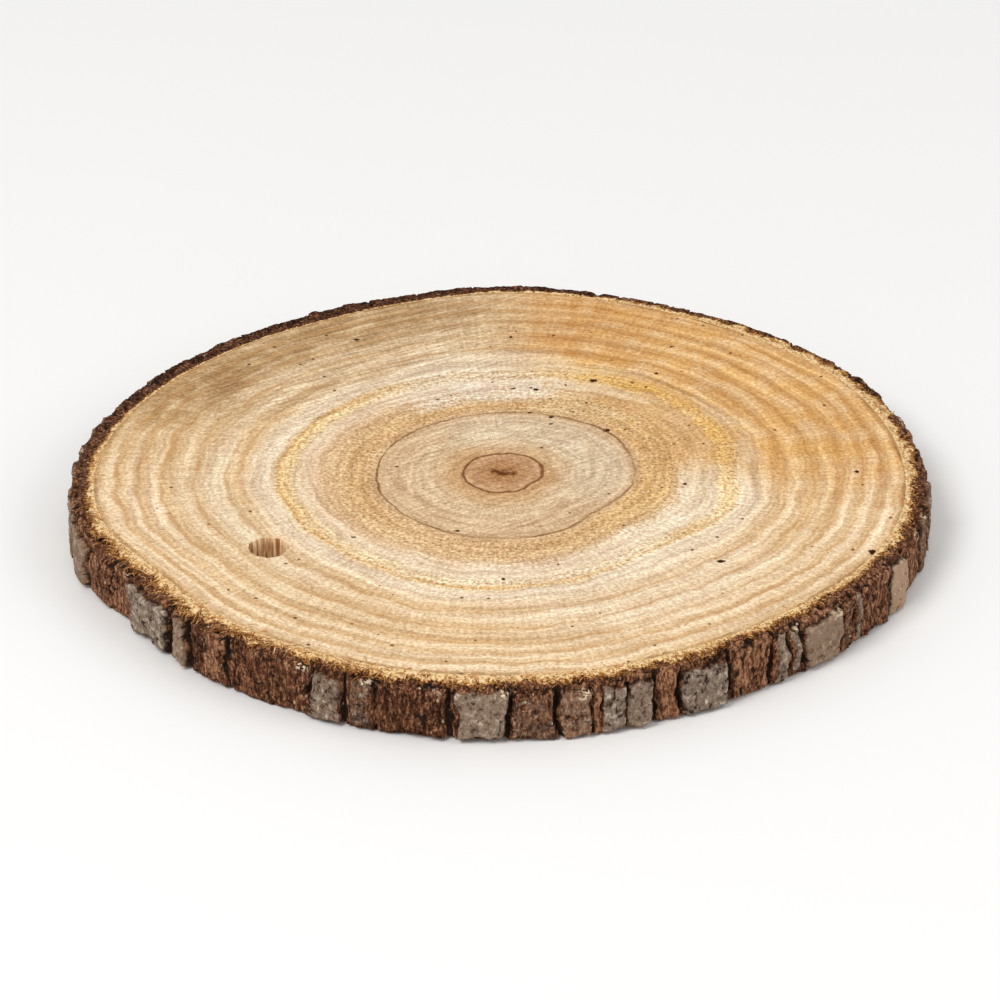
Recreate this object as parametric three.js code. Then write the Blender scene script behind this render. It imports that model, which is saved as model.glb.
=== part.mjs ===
// A slice sawn across a young tree trunk: a pale disc of wood, drilled with one small hole for a
// hanging string, inside the ring of bark that grew round it. It lies flat on a surface.
//
// Millimetres, +Z up. The origin is on the surface that the slice lies on, under its middle.
// Angles are in degrees about the pith, the tree's own centre, anticlockwise from +X as seen from
// above. The side at 270 degrees, towards -Y, is the front.
import * as THREE from "three";

// The slice
const THICKNESS = 9.4;
const PITH = new THREE.Vector2(0.3, 0.5);
const WOOD_RADIUS = 60.2; // from the pith to the bark, on average
const SEAM = 0.3; // between the wood and the bark

// How far the wood's edge stands out past its average radius, and how thick the bark is down to
// the floor of its scales, every OUTLINE_STEP degrees from 0
const OUTLINE_STEP = 15;
const WOOD_BULGE = [
  1.0, 1.0, 1.0, 0.2, 0.0, 0.4, 0.8, -0.9, -1.8, -1.3, -0.5, 0.7,
  1.5, 1.2, -1.2, -0.6, -0.2, 0.4, 0.4, -0.1, -0.9, -1.0, 0.0, 0.9,
];
const BARK_DEPTH = [
  2.8, 2.7, 2.8, 2.9, 2.5, 2.3, 2.2, 2.5, 2.5, 2.5, 3.0, 2.8,
  3.2, 3.3, 3.5, 3.3, 2.8, 2.8, 2.7, 2.6, 2.7, 2.9, 3.0, 2.9,
];
const OUTLINE_SIDES = 120;

// The hole, drilled by hand, so its rim wavers in and out as it goes round
const HOLE_ANGLE = 214;
const HOLE_FROM_PITH = 41.7;
const HOLE_RADIUS = 3.2;
const HOLE_WAVER = 0.14;
const HOLE_WAVES = [5, 2];
const HOLE_SIDES = 28;

// The scales of outer bark that the front shows, from left to right. Each has the angles where it
// starts and ends, how far it stands out from the bark under it, and how much of it is broken away
// below the top cut and above the bottom one, in millimetres.
const FRONT_SCALES = [
  [182.0, 190.0, 0.6, 1.0, 0.6],
  [191.0, 197.5, 1.0, 2.0, 0.5],
  [198.5, 204.0, 0.5, 1.8, 0.9],
  [204.8, 208.6, -0.5, 0.6, 2.4],
  [210.0, 219.2, 1.1, 1.6, 0.8],
  [220.8, 223.6, 0.9, 1.0, 0.5],
  [225.0, 226.8, -0.1, 0.8, 0.7],
  [227.6, 230.2, 0.4, 0.9, 0.9],
  [231.6, 243.4, 0.0, 0.6, 2.2],
  [244.2, 248.6, 0.8, 1.8, 0.8],
  [250.4, 253.2, 0.3, 0.8, 0.4],
  [254.2, 262.6, 0.5, 0.4, 0.6],
  [264.4, 270.3, 1.1, 0.9, 1.0],
  [271.4, 277.0, 0.5, 1.8, 0.3],
  [277.8, 281.8, 0.9, 1.8, 0.2],
  [282.4, 284.0, 0.2, 0.6, 0.6],
  [284.6, 286.6, 0.6, 1.8, 0.5],
  [287.3, 290.2, 1.1, 1.7, 0.4],
  [291.6, 293.5, 0.2, 0.6, 0.3],
  [294.3, 301.0, 1.3, 1.8, 0.3],
  [302.4, 308.6, 0.2, 0.4, 1.2],
  [310.0, 311.6, 0.6, 0.8, 0.8],
  [312.9, 314.2, 0.4, 0.8, 0.6],
  [315.4, 321.6, 1.3, 1.5, 0.2],
  [322.3, 324.0, 0.8, 0.7, 0.2],
  [325.4, 326.6, 0.3, 0.7, 0.8],
  [327.8, 333.0, 0.5, 0.6, 0.5],
  [334.2, 338.6, 1.0, 2.8, 0.4],
  [339.8, 345.0, 0.4, 0.9, 1.0],
  [346.2, 350.6, 0.7, 1.0, 0.6],
];

// The rule for the scales round the back, from the end of the front's last scale on to where its
// first one starts: the least and the most of each scale's width and of the crack after it, in
// degrees, and of how far it stands out and is broken away, in millimetres
const BACK_SEED = 20;
const BACK_WIDTH = [2.2, 8.6];
const BACK_GAP = [0.8, 1.6];
const BACK_LIFT = [0.1, 1.2];
const BACK_BROKEN = [0.4, 1.8];

// The shape of any scale
const SCALE_FLANK = 0.35; // degrees over which its side rises out of the crack
const SCALE_STEP = 2.4; // degrees between the sections taken along it
const SCALE_WANDER = 0.25; // how far its broken edges wander up and down
const SCALE_ROUGH = 0.1; // how far its face wanders in and out, and swells in the middle
const SCALE_ROUNDING = 0.25; // of its lift, that its broken edges are rounded off by
const SCALE_BEVEL = 0.4; // the least height of that rounding
const CRACK_DEPTH = 0.9; // of the cracks between the scales, below the bark under them

// How far short of the two cuts the bark ends, because the saw tears it
const TORN_INNER = 0.1;
const TORN_MIDDLE = 0.3;
const TORN_TOP = 0.7;
const TORN_BOTTOM = 0.4;

// Material colours
const WOOD_COLOUR = 0xe6c595;
const BARK_COLOUR = 0x6b4532;

// Numbers between a low and a high value, the same ones on every run: each is worked out from the
// one before it by the multiplication rule of a minimal standard generator.
function seededDraw(seed) {
  const FACTOR = 16807;
  const MODULUS = 2147483647;
  let state = seed;
  return (low, high) => {
    state = (state * FACTOR) % MODULUS;
    return low + ((high - low) * state) / MODULUS;
  };
}

// A closed smooth curve through values that stand OUTLINE_STEP degrees apart: between two of them,
// the cubic that leaves and arrives along the line joining its neighbours.
function roundTheSlice(values, angle) {
  const at = (((angle % 360) + 360) % 360) / OUTLINE_STEP;
  const from = Math.floor(at);
  const t = at - from;
  const value = (offset) => values[(from + offset + values.length) % values.length];
  const leave = (value(1) - value(-1)) / 2;
  const arrive = (value(2) - value(0)) / 2;
  const rise = value(1) - value(0);
  const square = 3 * rise - 2 * leave - arrive;
  const cube = leave + arrive - 2 * rise;
  return value(0) + leave * t + square * t ** 2 + cube * t ** 3;
}

const woodRadius = (angle) => WOOD_RADIUS + roundTheSlice(WOOD_BULGE, angle);
const barkFloor = (angle) => woodRadius(angle) + roundTheSlice(BARK_DEPTH, angle);

function fromPith(angle, radius) {
  const a = THREE.MathUtils.degToRad(angle);
  return new THREE.Vector2(Math.cos(a), Math.sin(a)).multiplyScalar(radius).add(PITH);
}

// The scales of the back, drawn one after another.
function backScales() {
  const draw = seededDraw(BACK_SEED);
  const end = FRONT_SCALES[0][0] + 360 - BACK_GAP[1];
  const scales = [];
  let start = FRONT_SCALES.at(-1)[1] + BACK_GAP[1];
  while (start + BACK_WIDTH[0] < end) {
    const width = Math.min(draw(...BACK_WIDTH), end - start);
    const lift = draw(...BACK_LIFT);
    scales.push([start, start + width, lift, draw(...BACK_BROKEN), draw(...BACK_BROKEN)]);
    start += width + draw(...BACK_GAP);
  }
  return scales;
}

// The angles at which the bark's section is taken, and what the section shows there: several along
// each scale, and one at the bottom of the crack after it.
function barkSections() {
  const draw = seededDraw(BACK_SEED + 1);
  const scales = [...FRONT_SCALES, ...backScales()];
  return scales.flatMap(([start, end, lift, brokenTop, brokenBottom], n) => {
    const wander = (broken) => Math.max(0, broken + draw(-SCALE_WANDER, SCALE_WANDER));
    const first = start + SCALE_FLANK;
    const length = end - SCALE_FLANK - first;
    const steps = Math.max(1, Math.round(length / SCALE_STEP));
    const along = Array.from({ length: steps + 1 }, (_, k) => ({
      angle: first + (length * k) / steps,
      lift: lift + draw(-SCALE_ROUGH, SCALE_ROUGH),
      brokenTop: wander(brokenTop),
      brokenBottom: wander(brokenBottom),
    }));
    const next = n + 1 < scales.length ? scales[n + 1][0] : scales[0][0] + 360;
    const crack = {
      angle: (end + next) / 2,
      lift: -CRACK_DEPTH,
      brokenTop: brokenTop / 2,
      brokenBottom: brokenBottom / 2,
    };
    return [...along, crack];
  });
}

// The outline of one section, as radius and height: from the foot of the bark's inner wall out,
// up its face, and back in over its torn top.
function sectionOutline({ angle, lift, brokenTop, brokenBottom }) {
  const inner = woodRadius(angle) + SEAM;
  const floor = barkFloor(angle);
  const face = floor + lift;
  const rim = Math.min(floor, face);
  const middle = (inner + floor) / 2;
  const rounding = SCALE_ROUNDING * Math.max(lift, 0);
  const foot = TORN_BOTTOM + brokenBottom;
  const head = THICKNESS - TORN_TOP - brokenTop;
  return [
    [inner, 0],
    [middle, 0],
    [rim, TORN_BOTTOM],
    [face - rounding, foot],
    [face, foot + rounding + SCALE_BEVEL],
    [face + SCALE_ROUGH, (foot + head) / 2],
    [face, head - rounding - SCALE_BEVEL],
    [face - rounding, head],
    [rim, THICKNESS - TORN_TOP],
    [middle, THICKNESS - TORN_MIDDLE],
    [inner, THICKNESS - TORN_INNER],
  ];
}

// The bark: a closed ring through its sections, one after another round the pith.
function barkRing() {
  const sections = barkSections();
  const outlines = sections.map(sectionOutline);
  const rows = outlines[0].length;
  const positions = outlines.flatMap((outline, n) =>
    outline.flatMap(([radius, z]) => [...fromPith(sections[n].angle, radius), z]),
  );
  const index = outlines.flatMap((outline, n) => {
    const here = n * rows;
    const there = ((n + 1) % outlines.length) * rows;
    return outline.flatMap((_, row) => {
      const up = (row + 1) % rows;
      return [here + row, there + row, there + up, here + row, there + up, here + up];
    });
  });
  const geometry = new THREE.BufferGeometry();
  geometry.setAttribute("position", new THREE.Float32BufferAttribute(positions, 3));
  geometry.setIndex(index);
  geometry.computeVertexNormals();
  return geometry;
}

// Points at equal angles round a closed outline.
function loopOf(sides, pointAt) {
  return Array.from({ length: sides }, (_, n) => pointAt((360 * n) / sides));
}

// The wood: its outline raised to the slice's thickness, with the hole through it.
function woodDisc() {
  const centre = fromPith(HOLE_ANGLE, HOLE_FROM_PITH);
  const outline = loopOf(OUTLINE_SIDES, (angle) => fromPith(angle, woodRadius(angle)));
  const rim = loopOf(HOLE_SIDES, (angle) => {
    const a = THREE.MathUtils.degToRad(angle);
    const waver = HOLE_WAVER * Math.sin(HOLE_WAVES[0] * a) * Math.cos(HOLE_WAVES[1] * a);
    const radius = HOLE_RADIUS + waver;
    return new THREE.Vector2(Math.cos(a), Math.sin(a)).multiplyScalar(radius).add(centre);
  });
  const shape = new THREE.Shape(outline);
  shape.holes.push(new THREE.Path(rim));
  return new THREE.ExtrudeGeometry(shape, { depth: THICKNESS, bevelEnabled: false });
}

function piece(name, geometry, color, roughness) {
  const material = new THREE.MeshStandardMaterial({ color, roughness, metalness: 0 });
  const mesh = new THREE.Mesh(geometry, material);
  mesh.name = name;
  return mesh;
}

const slice = new THREE.Group();
slice.name = "wood_slice";
slice.add(piece("wood_disc", woodDisc(), WOOD_COLOUR, 0.75));
slice.add(piece("bark_ring", barkRing(), BARK_COLOUR, 0.9));

export default slice;
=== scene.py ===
"""The looks of a slice sawn across a young tree trunk: pale wood with its growth rings, pith and
drilled hole, the cracked bark round it, and the fibres that the saw tore up between the two.

Shapes are worked out in millimetres and written to the meshes in metres. Angles are in degrees
about the pith, anticlockwise from +X as seen from above, so 270 is the front, towards -Y.
"""
import math
from types import SimpleNamespace

import bpy
import numpy as np
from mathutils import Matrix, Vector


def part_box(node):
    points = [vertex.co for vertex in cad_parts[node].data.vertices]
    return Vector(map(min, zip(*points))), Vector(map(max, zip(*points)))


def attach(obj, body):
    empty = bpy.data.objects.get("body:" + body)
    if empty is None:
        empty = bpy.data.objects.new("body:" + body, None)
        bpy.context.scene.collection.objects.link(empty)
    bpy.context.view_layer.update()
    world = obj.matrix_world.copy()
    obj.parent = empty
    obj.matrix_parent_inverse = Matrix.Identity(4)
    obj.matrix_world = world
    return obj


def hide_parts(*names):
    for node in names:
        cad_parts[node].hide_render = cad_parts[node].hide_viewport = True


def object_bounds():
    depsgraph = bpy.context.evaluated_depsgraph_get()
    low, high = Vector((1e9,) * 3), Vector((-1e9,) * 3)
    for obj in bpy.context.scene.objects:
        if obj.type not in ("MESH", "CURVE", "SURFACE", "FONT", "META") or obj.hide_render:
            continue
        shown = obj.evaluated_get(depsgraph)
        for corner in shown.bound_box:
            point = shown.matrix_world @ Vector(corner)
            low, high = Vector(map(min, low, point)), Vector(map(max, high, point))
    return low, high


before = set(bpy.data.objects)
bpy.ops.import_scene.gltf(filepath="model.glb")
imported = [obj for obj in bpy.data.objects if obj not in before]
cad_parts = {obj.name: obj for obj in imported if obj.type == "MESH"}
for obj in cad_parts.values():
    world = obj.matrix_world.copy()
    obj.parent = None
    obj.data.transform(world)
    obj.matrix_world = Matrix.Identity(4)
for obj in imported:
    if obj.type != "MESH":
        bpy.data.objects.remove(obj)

bl_info = {
    "name": "Wood slice",
    "version": (1, 0, 0),
    "blender": (4, 5, 0),
    "location": "3D View > Sidebar > Wood slice",
    "description": "Makes a sawn wood slice with growth rings, cracked bark and torn fibres",
    "category": "Add Mesh",
}

MM = 0.001

# The slice, as its construction gives it
CAD_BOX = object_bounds()
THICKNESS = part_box("wood_disc")[1].z / MM
PITH = np.array([0.3, 0.5])
WOOD_RADIUS = 60.2
HOLE_ANGLE = 214.0
HOLE_FROM_PITH = 41.7
LOOP_REACH = 5.0  # more than the hole's radius, and than the wood's edge wanders

# Two growth rings that were followed right round the face, as their radius every 15 degrees from
# 0, beside the radius that each would have on a round trunk
INNER_RING = 19.8
INNER_RING_AT = [
    20.3, 20.5, 20.8, 20.9, 20.3, 20.0, 19.6, 19.2, 19.0, 19.0, 19.0, 19.0,
    19.0, 19.3, 19.6, 19.9, 20.3, 20.6, 20.7, 20.6, 20.1, 18.7, 19.2, 20.0,
]
MIDDLE_RING = 34.0
MIDDLE_RING_AT = [
    35.4, 35.8, 36.0, 36.0, 35.0, 34.0, 33.0, 32.5, 32.2, 32.4, 33.0, 33.6,
    33.8, 33.6, 33.6, 33.8, 34.5, 35.4, 35.4, 34.7, 33.2, 33.2, 35.2, 36.1,
]

# The bark's thickness down to the floor of its scales, every 15 degrees from 0
BARK_DEPTH = [
    2.8, 2.7, 2.8, 2.9, 2.5, 2.4, 2.5, 2.9, 3.0, 2.9, 3.2, 3.0,
    3.2, 3.3, 3.5, 3.3, 2.8, 2.8, 2.7, 2.6, 2.7, 2.9, 3.0, 2.9,
]

# The scales of outer bark on the front: the angles where each starts and ends, how far it stands
# out, how much of it is broken away below the top cut and above the bottom one, and how grey it
# has weathered, from 0 for fresh brown to 1, and above 1 where it has bleached
FRONT_SCALES = [
    (182.0, 190.0, 0.6, 1.0, 0.6, 0.85),
    (191.0, 197.5, 1.0, 2.0, 0.5, 0.7),
    (198.5, 204.0, 0.5, 1.8, 0.9, 0.15),
    (204.8, 208.6, -0.5, 0.6, 2.4, 0.0),
    (210.0, 219.2, 1.1, 1.6, 0.8, 1.0),
    (220.8, 223.6, 0.9, 1.0, 0.5, 0.8),
    (225.0, 226.8, -0.1, 0.8, 0.7, 0.1),
    (227.6, 230.2, 0.4, 0.9, 0.9, 0.2),
    (231.6, 243.4, 0.0, 0.6, 2.2, 0.0),
    (244.2, 248.6, 0.8, 1.8, 0.8, 0.6),
    (250.4, 253.2, 0.3, 0.8, 0.4, 0.35),
    (254.2, 262.6, 0.5, 0.4, 0.6, 0.05),
    (264.4, 270.3, 1.1, 0.9, 1.0, 1.0),
    (271.4, 277.0, 0.5, 1.8, 0.3, 0.3),
    (277.8, 281.8, 0.9, 1.8, 0.2, 0.4),
    (282.1, 282.9, 0.1, 0.6, 0.6, 0.1),
    (283.3, 286.5, 0.6, 1.8, 0.4, 0.8),
    (286.9, 290.4, 1.1, 1.6, 0.3, 0.9),
    (291.6, 293.5, 0.2, 0.6, 0.3, 0.1),
    (294.3, 301.0, 1.3, 1.8, 0.3, 1.0),
    (302.4, 308.6, 0.2, 0.4, 1.2, 0.1),
    (310.2, 311.5, 0.6, 0.8, 0.8, 1.1),
    (313.0, 314.1, 0.4, 0.8, 0.6, 1.0),
    (315.4, 321.6, 1.3, 1.5, 0.2, 1.0),
    (322.3, 324.0, 0.8, 0.7, 0.2, 0.25),
    (325.4, 326.6, 0.3, 0.7, 0.8, 0.6),
    (327.8, 333.0, 0.5, 0.6, 0.5, 0.1),
    (334.2, 338.6, 1.0, 2.0, 0.4, 2.0),
    (339.8, 345.0, 0.4, 0.9, 1.0, 0.2),
    (346.2, 350.6, 0.7, 1.0, 0.6, 0.4),
]

# The rule for the scales round the back: the least and the most of each scale's width and of the
# crack after it, of how far it stands out and of how much of it is broken away
BACK_SEED = 20
BACK_WIDTH = (1.6, 11.5)
BACK_GAP = (0.4, 1.2)
BACK_LIFT = (0.1, 1.2)
BACK_BROKEN = (0.2, 1.6)

# How far short of the two cuts the bark ends, because the saw tears it: next to the wood, at the
# outer edge of the top every 30 degrees from 0, and at the bottom
TORN_INNER = 0.05
TORN_TOP = [0.7, 0.3, 0.15, 0.1, 0.1, 0.2, 0.7, 1.0, 1.0, 1.0, 1.0, 0.9]
TORN_BOTTOM = 0.4

# The width of the pale fringe of inner bark next to the wood, every 30 degrees from 0
FRINGE_WIDTH = [2.0, 2.3, 1.8, 0.6, 0.3, 0.35, 1.1, 2.6, 2.2, 1.9, 1.6, 1.3]

# How long the torn fibres are beside the length that is set, every 30 degrees from 0
FIBRE_REACH = [0.6, 0.6, 0.5, 0.4, 0.4, 0.5, 0.9, 1.4, 1.4, 0.9, 0.8, 0.7]

# Dark knots and bits of grit on the upper face: X and Y from the pith, and radius
SPECKS = [
    (-23.0, 44.3, 0.45), (1.5, 45.2, 0.40), (14.3, 30.2, 0.70), (5.4, 27.2, 0.50),
    (1.9, 27.5, 0.35), (7.6, 24.0, 0.25), (10.0, 28.7, 0.30), (24.3, 32.7, 0.35),
    (13.2, 22.8, 0.35), (4.4, 19.5, 0.35), (7.6, 18.0, 0.45), (7.7, 15.8, 0.35),
    (16.2, 13.5, 0.60), (26.9, 41.8, 0.35), (-26.0, 26.8, 0.25), (32.4, -27.5, 0.65),
    (55.0, -24.8, 0.85), (54.0, 0.3, 0.40), (27.8, -3.7, 0.35), (0.2, -32.9, 0.35),
    (-22.3, -20.3, 0.30), (-6.6, -18.4, 0.45), (52.4, -3.6, 0.24), (53.1, -3.7, 0.26),
    (53.8, -3.7, 0.26), (54.5, -3.8, 0.22),
]


def colour(code):
    """A web colour such as "#e6c595" as the linear red, green, blue and alpha that shaders use:
    low shares divided by 12.92, and the others by a power curve."""
    shares = np.array([int(code[at : at + 2], 16) for at in (1, 3, 5)]) / 255.0
    linear = np.where(shares <= 0.04045, shares / 12.92, ((shares + 0.055) / 1.055) ** 2.4)
    return (*linear.tolist(), 1.0)


def as_colour(value):
    """A web colour as its values, and anything else as it is."""
    return colour(value) if isinstance(value, str) else value


# Numbers and noise


def seeded_draw(seed):
    """Numbers between a low and a high value, the same ones on every run: each is the one before
    it times 16807, less all the multiples of 2147483647."""
    factor, modulus = 16807, 2147483647
    state = seed

    def draw(low, high):
        nonlocal state
        state = state * factor % modulus
        return low + (high - low) * state / modulus

    return draw


def ease(value, low=0.0, high=1.0):
    """0 below low and 1 above high, and between them 3 t^2 - 2 t^3."""
    t = np.clip((value - low) / (high - low), 0.0, 1.0)
    return t * t * (3.0 - 2.0 * t)


def smooth_round(values, degrees):
    """A closed smooth curve through values at equal angles from 0: between two of them, the cubic
    that leaves and arrives along the line joining its neighbours."""
    values = np.asarray(values, float)
    at = np.mod(degrees, 360.0) * len(values) / 360.0
    start = np.floor(at).astype(int)
    t = at - start
    before, here, after, beyond = (values[(start + n) % len(values)] for n in (-1, 0, 1, 2))
    leave = (after - before) / 2.0
    arrive = (beyond - here) / 2.0
    rise = after - here
    square = 3.0 * rise - 2.0 * leave - arrive
    cube = leave + arrive - 2.0 * rise
    return here + leave * t + square * t**2 + cube * t**3


def noise_round(degrees, up, seed, width, height, octaves=1):
    """Smooth noise from about -1 to 1 that closes round the slice: random values on a grid with
    one column for every width millimetres round the bark and one row for every height millimetres
    up, joined by 3 t^2 - 2 t^3. Each further octave is twice as fine and half as strong."""
    total = 0.0
    strength = 1.0
    degrees, up = np.broadcast_arrays(np.asarray(degrees, float), np.asarray(up, float))
    for octave in range(octaves):
        columns = max(4, round(2.0 * math.pi * WOOD_RADIUS / width * 2**octave))
        across = np.mod(degrees, 360.0) * columns / 360.0
        along = (up - up.min()) / height * 2**octave
        rows = int(along.max()) + 2
        grid = np.random.default_rng(seed + octave).uniform(-1.0, 1.0, (columns, rows))
        i = np.floor(across).astype(int)
        j = np.floor(along).astype(int)
        u = ease(across - i)
        v = ease(along - j)
        right = (i + 1) % columns
        low = grid[i % columns, j] * (1.0 - u) + grid[right, j] * u
        high = grid[i % columns, j + 1] * (1.0 - u) + grid[right, j + 1] * u
        total = total + strength * (low * (1.0 - v) + high * v)
        strength *= 0.5
    return total


def ragged_round(degrees, seed, width):
    """Noise that wanders along one line round the slice, with two finer octaves over it."""
    return noise_round(degrees, 0.0, seed, width, 1.0, octaves=3)


# The frame's own outlines


def face_loop(centre, least, most):
    """The radius about a centre, at equal angles from 0, of the corners of the wood disc's upper
    face that lie between two distances from it."""
    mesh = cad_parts["wood_disc"].data
    corners = np.empty(len(mesh.vertices) * 3)
    mesh.vertices.foreach_get("co", corners)
    corners = corners.reshape(-1, 3) / MM
    corners = corners[corners[:, 2] > THICKNESS / 2.0, :2] - centre
    distance = np.hypot(corners[:, 0], corners[:, 1])
    kept = (distance > least) & (distance < most)
    degrees = np.degrees(np.arctan2(corners[kept, 1], corners[kept, 0]))
    _, first = np.unique(np.round(degrees, 1) % 360.0, return_index=True)
    return distance[kept][first]


def heading(turn):
    """The direction at an angle in radians, as X and Y."""
    return np.stack([np.cos(turn), np.sin(turn)], axis=-1)


HOLE = PITH + HOLE_FROM_PITH * heading(math.radians(HOLE_ANGLE))
OUTLINE = face_loop(PITH, WOOD_RADIUS - LOOP_REACH, WOOD_RADIUS + LOOP_REACH)
HOLE_RIM = face_loop(HOLE, 0.0, LOOP_REACH)


def wood_radius(degrees):
    """The wood's edge, as the smooth curve through the corners of the frame's disc."""
    return smooth_round(OUTLINE, degrees)


def growth(degrees, radius):
    """How old the wood is at a place, as the radius that its ring would have on a round trunk:
    read off between the pith, the two rings that were followed and the bark."""
    stops = [0.0 * degrees, smooth_round(INNER_RING_AT, degrees)]
    stops += [smooth_round(MIDDLE_RING_AT, degrees), wood_radius(degrees)]
    ages = [0.0, INNER_RING, MIDDLE_RING, WOOD_RADIUS]
    age = 0.0 * radius
    for near, far, young, old in zip(stops, stops[1:], ages, ages[1:]):
        age = age + (old - young) * np.clip((radius - near) / (far - near), 0.0, 1.0)
    return age


# Meshes


def mesh_piece(name, points, faces, attributes, material):
    """A smooth-shaded object at the origin, from points in millimetres, corner numbers of its
    faces, and values at its points."""
    mesh = bpy.data.meshes.new(name)
    mesh.from_pydata((points * MM).tolist(), [], faces.tolist())
    for label, values in attributes.items():
        layer = mesh.attributes.new(label, "FLOAT", "POINT")
        layer.data.foreach_set("value", np.ascontiguousarray(values, np.float32).ravel())
    mesh.shade_smooth()
    mesh.materials.append(material)
    piece = bpy.data.objects.new(name, mesh)
    bpy.context.scene.collection.objects.link(piece)
    return piece


def closed_grid_faces(columns, rows):
    """The faces of a grid that closes on itself both ways, as a ring of closed sections does:
    each joins a corner, the same row of the next column, and the row after it in both."""
    column = np.arange(columns)[:, None]
    row = np.arange(rows)[None, :]
    here = column * rows
    there = (column + 1) % columns * rows
    up = (row + 1) % rows
    return np.stack([here + row, there + row, there + up, here + up], axis=-1).reshape(-1, 4)


# The wood

WOOD_COLUMNS = 640
FACE_ROWS = 96
UNDER_ROWS = 32
WALL_ROWS = 6
EDGE_STEPS = (0.12, 0.4, 0.9)  # from a cut edge to the first rows inside it
EDGE_DROP = 0.1  # how far both faces round off at their edges
UNDER_RISE = 0.06  # keeps the lower face's relief above the floor

# The sawn faces: how far the soft wood of each ring lies below the hard, half the width of that
# hollow, how rough the faces are, and the ring relief that is set when these hold
SOFT_DEPTH = 0.035
SOFT_HALF = 0.7
FACE_ROUGH = 0.012
RING_RELIEF = 0.05

# The hole: its radius beside the frame's, and how far its rim is ragged and its wall grooved
HOLE_TRIM = 0.92
HOLE_RAGGED = 0.13
HOLE_GROOVES = 0.06


def ring_relief(degrees, radius, seed):
    """The sawn face's height about its plane: the hard late wood of each ring stands a little
    proud of the soft wood outside it, and fine noise lies over both."""
    age = growth(degrees, radius)
    hollows = np.zeros_like(age)
    for ring in PALE_RINGS:
        hollows = hollows + np.exp(-(((age - ring) / SOFT_HALF) ** 2))
    rough = noise_round(degrees, radius, seed, 1.6, 1.2, octaves=2)
    return FACE_ROUGH * rough - SOFT_DEPTH * hollows


def across_face(start, end, rows):
    """Points on straight lines from one closed curve to another, close together at both ends and
    evenly apart between them."""
    distance = np.hypot(*(end - start).T)[:, None]
    near = np.array([0.0, *EDGE_STEPS])[None, :] / distance
    between = np.linspace(0.0, 1.0, rows - 2 * near.shape[1] + 2)[None, 1:-1]
    inner = near[:, -1:] + (1.0 - 2.0 * near[:, -1:]) * between
    share = np.hstack([near, inner, 1.0 - near[:, ::-1]])
    return start[:, None, :] + (end - start)[:, None, :] * share[:, :, None]


def about_pith(points):
    """The angle and the distance from the pith of points seen from above."""
    x, y = points[..., 0] - PITH[0], points[..., 1] - PITH[1]
    return np.degrees(np.arctan2(y, x)), np.hypot(x, y)


def wood_piece(settings, material):
    """The wood as one closed grid: from the hole's upper rim out over the top, down the outer
    wall, back in under it and up the hole's wall."""
    degrees = np.arange(WOOD_COLUMNS) * 360.0 / WOOD_COLUMNS
    edge = wood_radius(degrees)[:, None] * heading(np.radians(degrees)) + PITH
    aim = np.arctan2(edge[:, 1] - HOLE[1], edge[:, 0] - HOLE[0])
    aim_degrees = np.degrees(aim)
    ragged = HOLE_RAGGED * ragged_round(aim_degrees, 5, 14.0)
    rim_radius = smooth_round(HOLE_RIM, aim_degrees) * HOLE_TRIM + ragged
    rim = rim_radius[:, None] * heading(aim) + HOLE

    top = across_face(rim, edge, FACE_ROWS)
    under = across_face(edge, rim, UNDER_ROWS)
    relief = settings.ring_relief / MM / RING_RELIEF
    top_z = THICKNESS + relief * ring_relief(*about_pith(top), 11)
    under_z = UNDER_RISE + relief * ring_relief(*about_pith(under), 13)
    top_z[:, [0, -1]] -= EDGE_DROP
    under_z[:, [0, -1]] += EDGE_DROP

    wall_share = np.linspace(0.0, 1.0, WALL_ROWS + 2)[1:-1]
    wall_z = np.outer(np.ones(WOOD_COLUMNS), THICKNESS * wall_share)
    grooves = HOLE_GROOVES * noise_round(aim_degrees[:, None], wall_z, 17, 5.0, 6.0, octaves=2)
    hole_wall = rim[:, None, :] + grooves[..., None] * heading(aim)[:, None, :]
    outer_share = wall_share[::2]
    outer_wall = np.repeat(edge[:, None, :], len(outer_share), axis=1)
    outer_z = np.outer(np.ones(WOOD_COLUMNS), THICKNESS * (1.0 - outer_share))

    plan = np.concatenate([top, outer_wall, under, hole_wall], axis=1)
    height = np.concatenate([top_z, outer_z, under_z, wall_z], axis=1)
    points = np.concatenate([plan, height[..., None]], axis=-1)
    # Out over the top and on down is clockwise in each section, so the grid is turned over.
    faces = closed_grid_faces(WOOD_COLUMNS, plan.shape[1])[:, ::-1]
    angle, radius = about_pith(plan)
    ratio = np.where(radius > 1.0, growth(angle, radius) / np.maximum(radius, 1.0), 1.0)
    drilled = np.zeros_like(height)
    drilled[:, 0] = 1.0
    drilled[:, -WALL_ROWS - 1 :] = 1.0
    attributes = {"ring_ratio": ratio, "drilled": drilled}
    return mesh_piece("wood", points.reshape(-1, 3), faces, attributes, material)


# The bark

BARK_COLUMNS = 1440
BARK_BOTTOM_ROWS = 8
BARK_FACE_ROWS = 40
BARK_TOP_ROWS = 17

# The gap between the wood and the bark, how far the bark's foot and its top are ragged (the top
# more so by a share of what is torn off there), and how rough the torn top is: its woolly fuzz,
# and pits where fibres came out
SEAM = 0.02
FOOT_RAGGED = 0.2
TOP_RAGGED = 0.08
TORN_RAGGED = 0.22
TOP_FUZZ = 0.15
TOP_PITS = 0.5


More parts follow.
